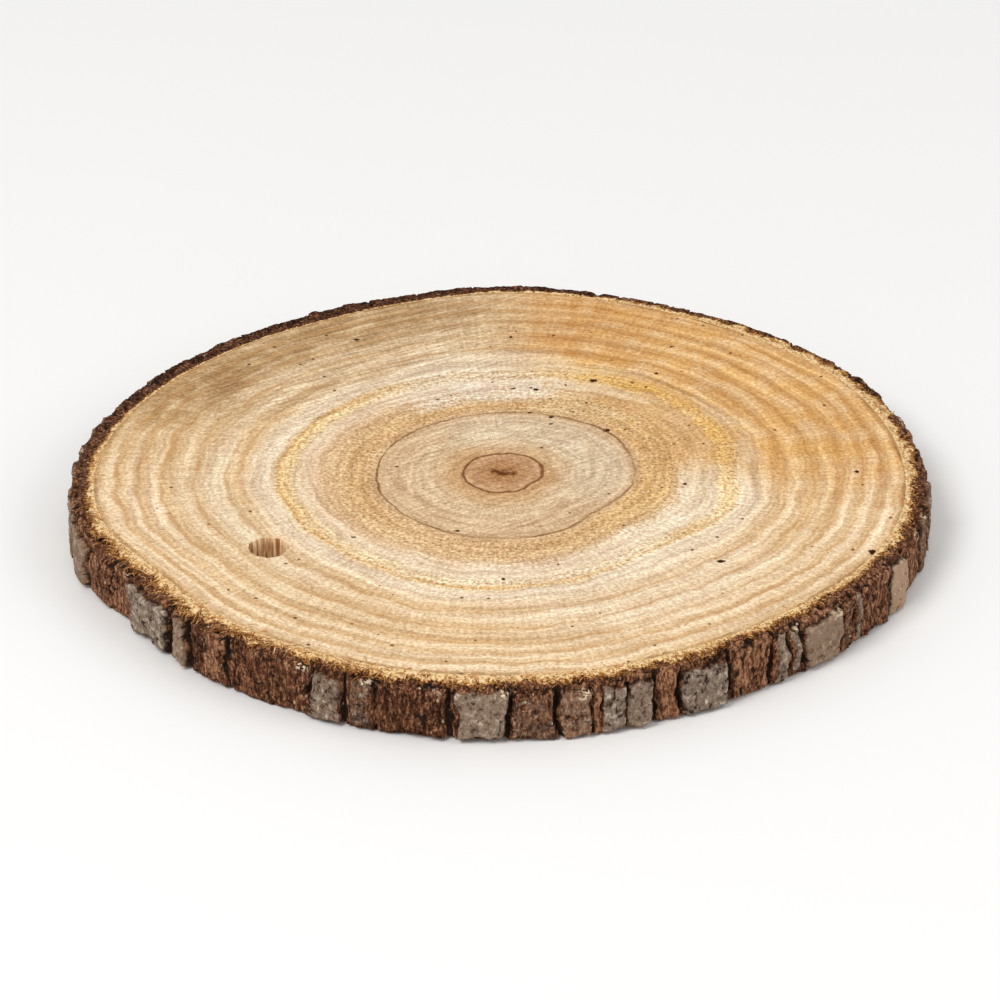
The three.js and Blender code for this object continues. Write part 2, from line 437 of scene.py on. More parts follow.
def all_scales():
    """The scales of the front, then those of the back, drawn one after another by the rule."""
    draw = seeded_draw(BACK_SEED)
    weather = np.random.default_rng(BACK_SEED)
    end = FRONT_SCALES[0][0] + 360.0 - BACK_GAP[1]
    start = FRONT_SCALES[-1][1] + BACK_GAP[1]
    scales = list(FRONT_SCALES)
    while start + BACK_WIDTH[0] < end:
        width = min(draw(*BACK_WIDTH), end - start)
        lift, top, bottom = draw(*BACK_LIFT), draw(*BACK_BROKEN), draw(*BACK_BROKEN)
        grey = np.clip(lift * 0.8 + weather.uniform(-0.6, 0.3), 0.0, 1.0)
        scales.append((start, start + width, lift, top, bottom, grey))
        start += width + draw(*BACK_GAP)
    return scales


def off_angle(degrees, middle):
    """How many degrees a place lies past a middle, from -180 to 180."""
    return np.mod(degrees - middle + 180.0, 360.0) - 180.0


# A scale stands out by the first plus the second times the lift that its row gives. Its upper
# broken edge lies below the top by the third plus the fourth times what its row gives, and its
# lower one above the bottom by the fifth's share of what is torn and broken away there.
LEAST_LIFT = 0.4
LIFT_SHARE = 0.6
CROWN_DROP = 0.3
CROWN_SHARE = 0.8
FOOT_SHARE = 0.6


def scale_cover(degrees, z):
    """What the scales do at places on the bark's side: how far they stand out, how grey they
    are, how much of the place they cover, a tone that differs from scale to scale, the painted
    shade along the edges of those that stand out, the painted highlights on their upper
    corners, and the noise that their sides follow. A scale covers the places between its two
    sides and its two broken edges, which all wander."""
    wander = 0.75 * noise_round(degrees, z, 31, 5.0, 4.0)
    wander = wander + 0.24 * noise_round(degrees, z, 33, 1.4, 1.4, octaves=2)
    torn = 0.5 * ragged_round(degrees, 37, 2.6)
    torn = torn + 0.15 * noise_round(degrees, z, 39, 0.9, 0.9)
    broken = ease(noise_round(degrees, z, 35, 1.8, 1.8), -0.6, 0.2)
    lift, grey, tone, cover, edge_shade, corner_highlights = (np.zeros_like(wander) for _ in range(6))
    tones = np.random.default_rng(41)
    for start, end, height, top, bottom, weathered in all_scales():
        half = (end - start) / 2.0
        off = off_angle(degrees, (start + end) / 2.0) + wander
        inside = half - np.abs(off)
        sides = ease(inside, -0.1, 0.16)
        crown = THICKNESS - CROWN_DROP - top * CROWN_SHARE
        foot = FOOT_SHARE * (TORN_BOTTOM + bottom)
        inside = np.minimum(inside, np.minimum(crown - z, z - foot) + torn)
        whole = ease(inside, -0.1, 0.14)
        lean = 1.0 + tones.uniform(-0.25, 0.25) * off / half
        lift += (LEAST_LIFT + LIFT_SHARE * height) * lean * whole
        grey += weathered * whole
        tone += tones.uniform(-1.0, 1.0) * sides
        cover += sides
        # Painted shade: a dark line along the edges of scales that stand out, where their step is
        # in shade.
        edge_shade += ease(height, 0.3, 0.9) * ease(0.22 - np.abs(inside + 0.1), 0.0, 0.16) * broken
        # Painted highlight: pale on the upper corner of some scales, where light catches them.
        corner = np.hypot(off - half * 0.8, (z - crown) * 1.2 + 0.5)
        corner_highlights += ease(tones.uniform(-1.0, 1.0), -0.2, 0.6) * ease(1.3 - corner, 0.0, 1.0)
    cover, edge_shade, corner_highlights = (np.clip(share, 0.0, 1.0) for share in (cover, edge_shade, corner_highlights))
    return lift, grey, cover, tone, edge_shade, corner_highlights, wander


def crack_lines(degrees, z, wander):
    """Cracks in the gaps between scales, from 0 to 1: the wider the gap, the wider the crack, and
    each is wider in some places and closes in others."""
    scales = all_scales()
    varied = 0.24 * noise_round(degrees, z, 43, 2.0, 2.4, octaves=2)
    cracks = np.zeros_like(wander)
    for scale, following in zip(scales, scales[1:] + scales[:1]):
        gap = np.mod(following[0] - scale[1], 360.0)
        off = off_angle(degrees, scale[1] + 0.4 * gap) + wander
        cracks = np.maximum(cracks, ease(0.28 * gap + varied - np.abs(off), -0.05, 0.15))
    return cracks


# How far the bark's side stands out or in, in millimetres: its flakes, the fibres and the extra
# roughness of brown bark, the roughness of any, the bare bark between scales, and its fissures
FLAKES = 0.22
FLAKE_LAYERS = 2.5  # how many steps the flakes' noise is cut into, from 0 to 1
FIBROUS = 0.09
ROUGH_BROWN = 0.06
ROUGH = 0.05
BARE = 0.15
FISSURES = 0.2
CRACK_SHARE = 0.75  # of the crack depth that is set


def bark_side(degrees, z, crack_depth):
    """How far the bark's side stands out from its floor, and what lies there: how grey it is, how
    much painted shade darkens it in cracks, in fissures and along the edges of raised scales,
    the tone of its scale, and painted highlights. Flakes are noise cut into layers, and
    fissures run where a slower noise passes 0."""
    lift, grey, cover, tone, edge_shade, corner_highlights, wander = scale_cover(degrees, z)
    crack = crack_lines(degrees, z, wander)
    flakes = noise_round(degrees, z, 45, 2.4, 2.2, octaves=3) * FLAKE_LAYERS
    layer = np.floor(flakes)
    step = (layer + ease(flakes - layer, 0.8, 1.0)) / FLAKE_LAYERS
    fibres = noise_round(degrees, z, 47, 1.1, 3.4, octaves=2)
    rough = noise_round(degrees, z, 53, 0.9, 0.8, octaves=2)
    brown = 1.0 - np.minimum(grey, 1.0)
    split = 1.0 - np.abs(noise_round(degrees, z, 59, 2.6, 6.0, octaves=3))
    split = ease(split + 0.03 * brown, 0.94, 1.0)
    narrow = 1.0 - np.abs(noise_round(degrees, z, 57, 1.5, 5.0, octaves=2))
    split = np.maximum(split, 0.8 * brown * ease(narrow, 0.93, 1.0))
    out = lift + FLAKES * step * (1.0 - 0.5 * brown) + FIBROUS * brown * fibres
    out += (ROUGH + ROUGH_BROWN * brown) * rough + BARE * (1.0 - cover)
    out -= crack_depth * CRACK_SHARE * crack + FISSURES * split
    # Painted shade: cracks, fissures and the edges of raised scales are darkened where shade falls
    # in them.
    painted_shade = np.clip(crack + 0.85 * split + 0.75 * edge_shade, 0.0, 1.0)
    return out, grey, painted_shade, tone, corner_highlights


def bark_piece(settings, material):
    """The bark as a ring of closed sections: out under its foot, up its side, and back in over
    its torn top to the wood."""
    degrees = (np.arange(BARK_COLUMNS) * 360.0 / BARK_COLUMNS)[:, None]
    inner = wood_radius(degrees) + SEAM
    floor = wood_radius(degrees) + smooth_round(BARK_DEPTH, degrees)
    crack_depth = settings.crack_depth / MM

    low = np.maximum(TORN_BOTTOM + FOOT_RAGGED * ragged_round(degrees, 61, 2.2), 0.05)
    torn_top = smooth_round(TORN_TOP, degrees)
    ragged = (TOP_RAGGED + TORN_RAGGED * torn_top) * ragged_round(degrees, 67, 2.6)
    high = THICKNESS - torn_top + ragged
    share = np.linspace(0.0, 1.0, BARK_FACE_ROWS)[None, :]
    side_z = low + (high - low) * share
    out, worn, painted_shade, tone, corner_highlights = bark_side(degrees, side_z, crack_depth)
    side_r = floor + out

    share = np.linspace(0.0, 1.0, BARK_TOP_ROWS + 1)[None, 1:]
    top_r = side_r[:, -1:] + (inner - side_r[:, -1:]) * share
    depth = top_r - inner
    fuzz = noise_round(degrees, depth, 71, 0.8, 0.5, octaves=3)
    pits = noise_round(degrees, depth, 72, 1.3, 0.9, octaves=2)
    top_z = high + (THICKNESS - TORN_INNER - high) * ease(share, -0.2, 0.95)
    top_z = top_z + TOP_FUZZ * fuzz * ease(1.0 - share, 0.0, 0.15)
    sunk = ease(pits, 0.15, 0.75) * ease(1.0 - share, 0.25, 0.6)
    top_z = top_z - TOP_PITS * sunk
    uneven = 1.1 + 0.5 * ragged_round(degrees, 73, 2.4)
    fringe = np.clip(1.0 - depth / (smooth_round(FRINGE_WIDTH, degrees) * uneven), 0.0, 1.0)

    share = np.linspace(0.0, 1.0, BARK_BOTTOM_ROWS + 1)[None, :-1]
    bottom_r = inner + (side_r[:, :1] - inner) * share
    bottom_z = low * ease(share, 0.45, 1.0)

    radius = np.hstack([bottom_r, side_r, top_r])
    z = np.hstack([bottom_z, side_z, top_z])
    turn = np.radians(degrees)
    points = np.stack([PITH[0] + radius * np.cos(turn), PITH[1] + radius * np.sin(turn), z], -1)
    below, above = np.zeros_like(bottom_r), np.zeros_like(top_r)
    fade = ease(1.0 - np.linspace(0.0, 1.0, BARK_TOP_ROWS), 0.55, 1.0)[None, :]
    top_tone = tone[:, -1:] * fade - 1.1 * (1.0 - torn_top)
    attributes = {
        "weathered": np.hstack([below, worn, above]),
        # Painted shade from the side's cracks and edges, fading onto the top, and in the pits of
        # the torn top.
        "painted_shade": np.hstack([below, painted_shade, np.maximum(painted_shade[:, -1:] * fade, 0.8 * sunk)]),
        "inner_bark": np.hstack([below + ease(1.0 - share), 0.0 * worn, fringe]),
        "scale_tone": np.hstack([below, tone, top_tone]),
        # Painted highlights on the upper corners of the scales.
        "painted_highlights": np.hstack([below, corner_highlights, above]),
    }
    faces = closed_grid_faces(BARK_COLUMNS, radius.shape[1])
    return mesh_piece("bark", points.reshape(-1, 3), faces, attributes, material)


# The torn fibres: the least and the most from the middle of a fibre's root to its corners, how far
# below the surface the root lies, and how far inside the wood's edge the fibres begin
FIBRE_RADIUS = (0.06, 0.19)
ROOT_DEPTH = 0.15
FIBRE_INSIDE = 0.2


def unit(vectors):
    """Vectors made one long."""
    return vectors / np.linalg.norm(vectors, axis=1)[:, None]


def fibre_piece(settings, material):
    """Slivers torn up where the saw left the bark: each is a three-sided spike that starts under
    the surface, bends half way and ends in a point."""
    draw = np.random.default_rng(83)
    count = settings.fibres
    degrees = draw.uniform(0.0, 360.0, count)
    fringe = smooth_round(FRINGE_WIDTH, degrees)
    place = draw.beta(1.0, 1.6, count)
    depth = smooth_round(BARK_DEPTH, degrees)
    radius = wood_radius(degrees) - FIBRE_INSIDE + (fringe * 1.15 + FIBRE_INSIDE) * place
    stretch = 0.35 + 1.2 * draw.uniform(0.0, 1.0, count) ** 2
    reach = settings.fibre_length / MM * stretch * smooth_round(FIBRE_REACH, degrees)
    thick = draw.uniform(*FIBRE_RADIUS, count)
    turn = np.radians(degrees)
    outward = np.stack([np.cos(turn), np.sin(turn), 0.0 * turn], -1)
    along = np.stack([-np.sin(turn), np.cos(turn), 0.0 * turn], -1)
    up = np.array([0.0, 0.0, 1.0])

    course = draw.uniform(0.0, 2.0 * math.pi, count)
    climb = np.radians(draw.uniform(-15.0, 22.0, count))
    flat = np.cos(course)[:, None] * along + (0.55 * np.sin(course) + 0.35)[:, None] * outward
    rise = np.cos(climb)[:, None] * unit(flat) + np.sin(climb)[:, None] * up
    droop = unit(rise - draw.uniform(0.1, 0.9, count)[:, None] * up)

    outer_share = np.clip((radius - wood_radius(degrees)) / depth, 0.0, 1.0)
    torn_top = smooth_round(TORN_TOP, degrees)
    surface = THICKNESS - TORN_INNER - (torn_top - TORN_INNER) * ease(outer_share, 0.05, 1.2)
    root = outward * radius[:, None] + np.array([*PITH, 0.0])
    root[:, 2] = surface - ROOT_DEPTH
    bend = root + rise * (0.5 * reach + 0.2)[:, None]
    tip = bend + droop * (0.5 * reach)[:, None]
    sideways = unit(np.cross(rise, up))
    crest = np.cross(sideways, rise)
    corners = [sideways, -0.5 * sideways + 0.87 * crest, -0.5 * sideways - 0.87 * crest]
    spikes = [root + corner * thick[:, None] for corner in corners]
    spikes += [bend + corner * (0.8 * thick)[:, None] for corner in corners] + [tip]
    points = np.stack(spikes, axis=1)

    first = np.arange(count)[:, None, None] * len(spikes)
    sides = [(0, 1, 4), (0, 4, 3), (1, 2, 5), (1, 5, 4), (2, 0, 3), (2, 3, 5)]
    pattern = np.array([(0, 2, 1), *sides, (3, 4, 6), (4, 5, 6), (5, 3, 6)])
    faces = (first + pattern[None, :, :]).reshape(-1, 3)
    tone = 0.45 * draw.uniform(0.0, 1.0, count) + 0.6 * (1.0 - place)
    tone = np.repeat(tone, len(spikes))
    return mesh_piece("torn_fibres", points.reshape(-1, 3), faces, {"fibre_tone": tone}, material)


# Shader nodes


class Nodes:
    """Adds nodes to a tree. Each call joins what it is given and returns the new output."""

    def __init__(self, tree):
        self.tree = tree
        self.tree.nodes.clear()

    def join(self, node, inputs):
        """Links a node's inputs, by name or number, to sockets, or sets them to values."""
        for name, value in inputs.items():
            if isinstance(value, bpy.types.NodeSocket):
                self.tree.links.new(value, node.inputs[name])
            else:
                node.inputs[name].default_value = as_colour(value)

    def put(self, kind, inputs=(), output=0, **settings):
        """A node of a kind, with settings and inputs."""
        node = self.tree.nodes.new(kind)
        for name, value in settings.items():
            setattr(node, name, value)
        self.join(node, dict(inputs))
        return node.outputs[output] if node.outputs else node

    def math(self, operation, first, second):
        """One step of arithmetic."""
        return self.put("ShaderNodeMath", {0: first, 1: second}, operation=operation)

    def add(self, first, second):
        """The sum of two values."""
        return self.math("ADD", first, second)

    def less(self, first, second):
        """The first value less the second."""
        return self.math("SUBTRACT", first, second)

    def times(self, product, *others):
        """The product of two or more values."""
        for value in others:
            product = self.math("MULTIPLY", product, value)
        return product

    def most(self, values):
        """The largest of several values."""
        most, *others = values
        for value in others:
            most = self.math("MAXIMUM", most, value)
        return most

    def vector(self, operation, first, second=(0.0, 0.0, 0.0), output=0):
        """One step of vector arithmetic."""
        inputs = {0: first, 1: second}
        return self.put("ShaderNodeVectorMath", inputs, output, operation=operation)

    def scaled(self, vector, factor):
        """A vector made longer or shorter."""
        return self.put("ShaderNodeVectorMath", {0: vector, "Scale": factor}, operation="SCALE")

    def length(self, vector):
        """How long a vector is."""
        return self.vector("LENGTH", vector, output="Value")

    def along(self, vector, direction):
        """How far a vector reaches in a direction."""
        return self.vector("DOT_PRODUCT", vector, direction, "Value")

    def ease(self, value, low, high, out_low=0.0, out_high=1.0):
        """A value eased from one range into another."""
        inputs = {0: value, 1: low, 2: high, 3: out_low, 4: out_high}
        return self.put("ShaderNodeMapRange", inputs, interpolation_type="SMOOTHSTEP")

    def between(self, value, start, whole, fading, end):
        """1 where a value lies between the middle two of four, eased to 0 at the outer two."""
        return self.times(self.ease(value, start, whole), self.ease(value, end, fading))

    def blend(self, share, first, second, kind="MIX"):
        """One colour over another."""
        inputs = {0: share, 6: first, 7: second}
        return self.put("ShaderNodeMix", inputs, 2, data_type="RGBA", blend_type=kind)

    def noise(self, place, size, detail=2.0, roughness=0.5):
        """Noise from 0 to 1, with patches about size millimetres across."""
        scale = 1.0 / size if isinstance(size, float) else self.math("DIVIDE", 1.0, size)
        inputs = {"Vector": place, "Scale": scale, "Detail": detail, "Roughness": roughness}
        return self.put("ShaderNodeTexNoise", inputs)

    def patches(self, place, size, low, high, least=0.0, most=1.0):
        """Noise eased into patches that go from a least to a most."""
        return self.ease(self.noise(place, size), low, high, least, most)

    def wander(self, place, size, reach):
        """Noise from about minus to plus half a reach."""
        return self.times(self.less(self.noise(place, size), 0.5), reach)

    def ramp(self, value, stops, reach=1.0):
        """Colours at values from 0 to reach, blended in between."""
        node = self.tree.nodes.new("ShaderNodeValToRGB")
        self.tree.links.new(self.math("DIVIDE", value, reach), node.inputs[0])
        elements = node.color_ramp.elements
        for _ in stops[2:]:
            elements.new(0.5)
        for element, (at, shade) in zip(elements, stops):
            element.position = at / reach
            element.color = as_colour(shade)
        return node.outputs[0]

    def attribute(self, name):
        """A value that the mesh holds at its points."""
        return self.put("ShaderNodeAttribute", output="Fac", attribute_name=name)

    def place(self, origin=(0.0, 0.0)):
        """The place on the piece, in millimetres from an origin on the resting surface."""
        here = self.put("ShaderNodeTexCoord", output="Object")
        return self.vector("SUBTRACT", self.scaled(here, 1.0 / MM), (*origin, 0.0))

    def effect(self, name, place, output=0, **inputs):
        """A shared effect at a place, with its own values. Where output is None, it returns all
        the outputs, to be taken by name."""
        node = self.tree.nodes.new("ShaderNodeGroup")
        node.node_tree = bpy.data.node_groups[name]
        self.join(node, {"Place": place, **inputs})
        return node.outputs if output is None else node.outputs[output]


def new_effect(name, inputs, outputs):
    """An empty shared effect that takes a place and other inputs: its nodes, its inputs by name,
    and a function that fills its outputs."""
    tree = bpy.data.node_groups.new(name, "ShaderNodeTree")
    sockets = [("Place", "INPUT", "NodeSocketVector")]
    sockets += [(label, "INPUT", "NodeSocketFloat") for label in inputs]
    sockets += [(label, "OUTPUT", "NodeSocketFloat") for label in outputs]
    for label, direction, kind in sockets:
        tree.interface.new_socket(name=label, in_out=direction, socket_type=kind)
    nodes = Nodes(tree)
    given = tree.nodes.new("NodeGroupInput")
    result = tree.nodes.new("NodeGroupOutput")

    def fill(**values):
        nodes.join(result, values)

    return nodes, given.outputs, fill


def shared_effects():
    """The effects that several materials share.

    grain: fine light and dark noise, as a shade round 1 and as a height.
    streaks: noise drawn out along the trunk, from 0 to 1.
    specks: small round marks scattered over the surface, from 0 to 1."""
    n, given, fill = new_effect("grain", ("Size", "Contrast"), ("Shade", "Height"))
    noise = n.noise(given["Place"], given["Size"], 3.0, 0.65)
    strong = n.times(n.less(noise, 0.5), given["Contrast"])
    fill(Shade=n.add(strong, 1.0), Height=noise)

    n, given, fill = new_effect("streaks", ("Width", "Stretch"), ("Streak",))
    squeeze = n.put("ShaderNodeCombineXYZ", {0: 1.0, 1: 1.0, 2: given["Stretch"]})
    drawn = n.vector("MULTIPLY", given["Place"], squeeze)
    fill(Streak=n.ease(n.noise(drawn, given["Width"], 3.0, 0.6), 0.3, 0.7))

    n, given, fill = new_effect("specks", ("Spacing", "Radius", "Share"), ("Mask",))
    scale = n.math("DIVIDE", 1.0, given["Spacing"])
    cells = n.put("ShaderNodeTexVoronoi", {"Vector": given["Place"], "Scale": scale})
    distance = n.times(cells, given["Spacing"])
    lot = n.put("ShaderNodeSeparateColor", {0: cells.node.outputs["Color"]})
    radius = n.times(given["Radius"], n.ease(lot.node.outputs[1], 0.0, 1.0, 0.4, 1.0))
    inside = n.math("DIVIDE", distance, radius)
    chosen = n.math("LESS_THAN", lot, given["Share"])
    fill(Mask=n.times(n.ease(inside, 1.15, 0.7), chosen))


# Materials

# The tones of the wood by age, on the side where it is palest
HEART_TONES = [
    (0.0, "#b08052"), (2.0, "#b58457"), (3.2, "#bd9066"), (5.4, "#cba27a"), (6.6, "#c99f71"),
    (7.6, "#d2a97b"), (9.2, "#d5b187"), (11.0, "#dbbe98"), (12.6, "#e0c6a0"), (14.5, "#dabc96"),
    (17.0, "#d7b892"), (18.3, "#ddbf99"), (19.4, "#d2b088"), (20.4, "#d9b386"), (22.0, "#d6ad7a"),
    (24.5, "#dbb684"), (26.5, "#debb90"), (28.3, "#e4c5a0"), (29.5, "#ecd2b2"), (31.5, "#e9d0ac"),
    (32.6, "#eed4aa"), (34.0, "#e3c292"), (35.0, "#ecd5b2"), (36.0, "#ecd6ba"), (37.2, "#e6cfb0"),
]
# Further out, the middles of the pale rings, which lie between darker ones
PALE_RINGS = (38.4, 43.0, 48.0, 52.1, 55.1, 58.2, 61.4)

# Where the face differs from those tones: the angle of the middle of the place, half its width
# and how softly it ends there, the ages where it begins and ends and how softly, its colour, how
# strongly that is laid on, and the way, where it isn't mixed in
TINTS = [
    (43, 46, 13, 27.0, 62.0, 5.0, "#f4daae", 1.0, "MULTIPLY"),
    (76, 13, 6, 39.0, 62.0, 2.5, "#f2e6dc", 0.6, "MULTIPLY"),
    (30, 50, 12, 20.0, 30.0, 2.0, "#fffbec", 0.9, "MULTIPLY"),
    (338, 22, 12, 26.2, 35.5, 1.3, "#f6e5c8", 0.78),
    (76, 14, 6, 26.5, 36.5, 1.5, "#ecd4ae", 0.6),
    # The next two rows grey the back left and darken it towards the rim: partly real staining,
    # partly painted shade.
    (123, 35, 9, 38.0, 62.0, 4.0, "#cfb48f", 0.7),
    (130, 32, 12, 50.0, 62.0, 4.5, "#d0bda3", 0.9, "MULTIPLY"),
    (165, 14, 9, 44.0, 62.0, 5.0, "#f2ebdf", 0.9, "MULTIPLY"),
    (98, 23, 8, 24.0, 31.5, 1.5, "#eedfca", 0.8),
    (314, 17, 8, 26.3, 36.5, 0.8, "#f2dfc3", 0.65),
    (45, 75, 25, 9.5, 18.5, 2.0, "#dfcaac", 0.75),
    (60, 50, 20, 6.8, 11.0, 1.0, "#dcc19c", 0.6),
    (38, 22, 10, 27.5, 31.5, 1.0, "#d2a873", 0.8),
    (252, 28, 12, 20.3, 26.5, 1.2, "#e7c497", 0.45),
    (332, 14, 10, 20.3, 27.0, 1.2, "#e7bf82", 0.45),
    (175, 60, 15, 26.0, 29.2, 1.0, "#f8f3ed", 1.0, "MULTIPLY"),
    (266, 27, 10, 26.8, 34.0, 1.0, "#f6e6cc", 0.4),
    (97, 15, 8, 31.0, 41.0, 1.0, "#ecdcc4", 0.5),
    (64, 14, 7, 28.8, 32.0, 0.8, "#ecd9bc", 0.5),
    (60, 15, 8, 20.3, 26.0, 1.0, "#e0c69d", 0.5),
    (300, 23, 12, 37.0, 51.0, 2.0, "#f4e2c6", 0.4),
    (240, 15, 8, 40.0, 46.0, 1.5, "#f7f3ee", 1.0, "MULTIPLY"),
    (198, 30, 10, 40.8, 46.0, 1.5, "#ebd9ba", 0.5),
    (226, 24, 8, 46.0, 53.0, 1.5, "#f5f2ed", 1.0, "MULTIPLY"),
    (266, 16, 8, 46.0, 52.0, 1.5, "#f9f3e8", 1.0, "MULTIPLY"),
    (350, 15, 8, 43.0, 51.0, 2.0, "#dcae6c", 0.35),
    (15, 60, 12, 31.9, 34.3, 0.5, "#e8bb6c", 0.55),
    (168, 38, 12, 31.8, 33.9, 0.5, "#eac47e", 0.5),
    (225, 30, 12, 31.8, 33.6, 0.5, "#efcf94", 0.35),
    (205, 75, 12, 33.75, 34.3, 0.25, "#d9a258", 0.6),
    (290, 34, 10, 33.6, 34.3, 0.3, "#e0b26e", 0.55),
    (59, 8, 5, 31.0, 37.0, 1.2, "#ebba66", 0.45),
    (46, 4, 4, 30.6, 32.8, 0.8, "#a07343", 0.5),
    (35, 42, 9, 36.6, 37.1, 0.3, "#ab8555", 0.45),
    (171, 22, 8, 38.9, 40.4, 0.6, "#dfb377", 0.6),
]


def principled(n, base, roughness, height, depth, specular):
    """The surface shader, with a bump that is depth millimetres high where the height is 1."""
    bump = {"Strength": 1.0, "Distance": depth * MM, "Height": height}
    surface = {"Base Color": base, "Roughness": roughness, "Specular IOR Level": specular}
    surface["Normal"] = n.put("ShaderNodeBump", bump)
    shader = n.put("ShaderNodeBsdfPrincipled", surface)
    n.put("ShaderNodeOutputMaterial", {"Surface": shader})


def new_material(name):
    """A new material, and the nodes of its empty tree."""
    material = bpy.data.materials.new(name)
    material.use_nodes = True
    return material, Nodes(material.node_tree)


def ring_line(n, age, at, half):
    """A thin line along one ring: 1 on it, eased to 0 at half a width either side."""
    off = n.put("ShaderNodeMath", {0: n.less(age, at)}, operation="ABSOLUTE")
    return n.ease(off, half, 0.25 * half)


def wood_places(n):
    """Where a point of the wood is: its place, the same without its height (flat), the distance
    and the direction (towards) from the pith, and its age. Then fine noise, and the age with
    noise: slow (calm), slow and fine (soft), as the tones follow it, and little (crisp), as the
    thin lines do."""
    place = n.place(PITH)
    flat = n.vector("MULTIPLY", place, (1.0, 1.0, 0.0))
    radius = n.length(flat)
    age = n.times(radius, n.attribute("ring_ratio"))
    slow = n.add(n.wander(flat, 19.0, 3.0), n.wander(flat, 5.0, 1.6))
    calm = n.add(age, n.times(slow, n.ease(age, 18.0, 34.0, 0.25, 1.0)))
    fine = n.wander(flat, 0.8, 0.8)
    crisp = n.add(n.add(age, n.wander(flat, 3.2, 0.9)), n.times(fine, 0.4))
    return SimpleNamespace(
        place=place, flat=flat, radius=radius, towards=n.vector("NORMALIZE", flat), age=age,
        fine=fine, calm=calm, soft=n.add(calm, fine), crisp=crisp,
    )


def ring_tones(n, at, pale, late):
    """The tones of the heart from their table, and further out pale rings with late wood just
    past the middle between them."""
    rings = [(37.0, HEART_TONES[-1][1])]
    for age, following in zip(PALE_RINGS, PALE_RINGS[1:]):
        rings += [(age, pale), (0.45 * age + 0.55 * following, late)]
    heart = n.ramp(at.soft, HEART_TONES, WOOD_RADIUS)
    sap = n.ramp(at.soft, rings, WOOD_RADIUS)
    return n.blend(n.ease(at.soft, 36.4, 37.2), heart, sap)


def tinted(n, at, base):
    """The base with each row of the table laid over it. A place's mask is the cosine of the
    angle from its middle, eased at its sides, times its age eased in and out, times patches."""
    ragged = n.wander(at.flat, 2.0, 0.16)
    patchy = n.patches(at.flat, 5.0, 0.35, 0.6, 0.6)
    for middle, half, soft, start, end, fade, code, share, *kind in TINTS:
        turn, inner, outer = (math.radians(v) for v in (middle, half - soft, half + soft))
        cosine = n.along(at.towards, (math.cos(turn), math.sin(turn), 0.0))
        side = n.ease(n.add(cosine, ragged), math.cos(outer), math.cos(max(inner, 0.0)))
        begin = n.ease(at.soft, start - fade, start + fade, 0.0, share)
        finish = n.ease(at.soft, end + fade, end - fade)
        base = n.blend(n.times(side, begin, finish, patchy), base, code, *kind)
    return base


def warmly(n, base, shade):
    """The base made darker or lighter as wood is: its darks are warmer than its lights."""
    shades = {0: n.math("POWER", shade, 0.75), 1: shade, 2: n.math("POWER", shade, 1.2)}
    return n.blend(1.0, base, n.put("ShaderNodeCombineColor", shades), "MULTIPLY")


def noise_about_pith(n, at, turns, outwards, roughness):
    """Noise at a place made of the direction from the pith and a distance: the more turns, the
    faster it changes on the way round, so it lies in rays, and with few turns in rings."""
    upright = n.put("ShaderNodeCombineXYZ", {2: outwards})
    return n.noise(n.vector("ADD", n.scaled(at.towards, turns), upright), 1.0, 3.0, roughness)


def saw_marks(n, at):
    """Straight marks, nearly parallel, across the heart and the back left: noise drawn out one
    way, from about minus to plus a half where they are strongest."""
    turned = {"Vector": at.flat, "Rotation": (0.0, 0.0, math.radians(-30.0))}
    sawn = n.put("ShaderNodeMapping", turned)
    marks = n.noise(n.vector("MULTIPLY", sawn, (0.06, 1.0, 0.0)), 0.55, 3.0, 0.6)
    back = n.ease(n.along(at.towards, (-0.54, 0.84, 0.0)), 0.7, 0.95)
    back = n.times(back, n.ease(at.age, 20.0, 38.0))
    in_heart = n.ease(at.age, 21.0, 17.0, 0.0, 0.7)
    return n.times(n.less(marks, 0.5), n.add(n.most([back, in_heart]), 0.15))


def knot_mask(n, at):
    """1 on the dark knots and grit of the table, on the upper face alone."""
    ragged = n.times(at.fine, 1.3)
    knots = []
    for x, y, size in SPECKS:
        off = n.vector("DISTANCE", at.flat, (x, y, 0.0), output="Value")
        knots.append(n.ease(n.add(off, ragged), size, size * 0.6))
    upwards = n.along(at.place, (0.0, 0.0, 1.0))
    return n.times(n.most(knots), n.ease(upwards, THICKNESS / 2.0, THICKNESS - 1.0))


def thin_lines(n, at, base, pith):
    """The base with the pith on it as an uneven star, the two thin dark rings, a line where the
    bark begins, and now and then a crisp line along the hard outer edge of a ring."""
    wide = n.length(n.vector("MULTIPLY", at.flat, (0.75, 1.3, 0.0)))
    star = n.ease(n.less(wide, n.times(n.noise(at.flat, 1.3, 3.0, 0.6), 6.5)), -1.4, -3.0)
    base = n.blend(n.times(star, 0.95), base, pith)
    first = ring_line(n, at.crisp, 6.05, 0.38)
    base = n.blend(n.times(first, 0.85), base, "#70401c")
    second = ring_line(n, at.crisp, 19.7, 0.3)
    faint = n.patches(at.flat, 8.0, 0.35, 0.6, 0.3, 0.85)
    base = n.blend(n.times(second, faint), base, "#7a5030")
    edge = ring_line(n, at.crisp, WOOD_RADIUS - 0.2, 0.5)
    patchy = n.patches(at.flat, 9.0, 0.42, 0.6, 0.0, 0.45)
    base = n.blend(n.times(edge, patchy), base, "#7a5534")
    wavering = n.add(at.calm, n.times(at.fine, 0.5))
    ages = [0.3 * age + 0.7 * following for age, following in zip(PALE_RINGS, PALE_RINGS[1:])]
    lines = n.most([ring_line(n, wavering, age, 0.45) for age in ages])
    broken = n.patches(at.flat, 6.0, 0.4, 0.6, 0.08, 0.5)
    return n.blend(n.times(lines, broken), base, "#c08a50")


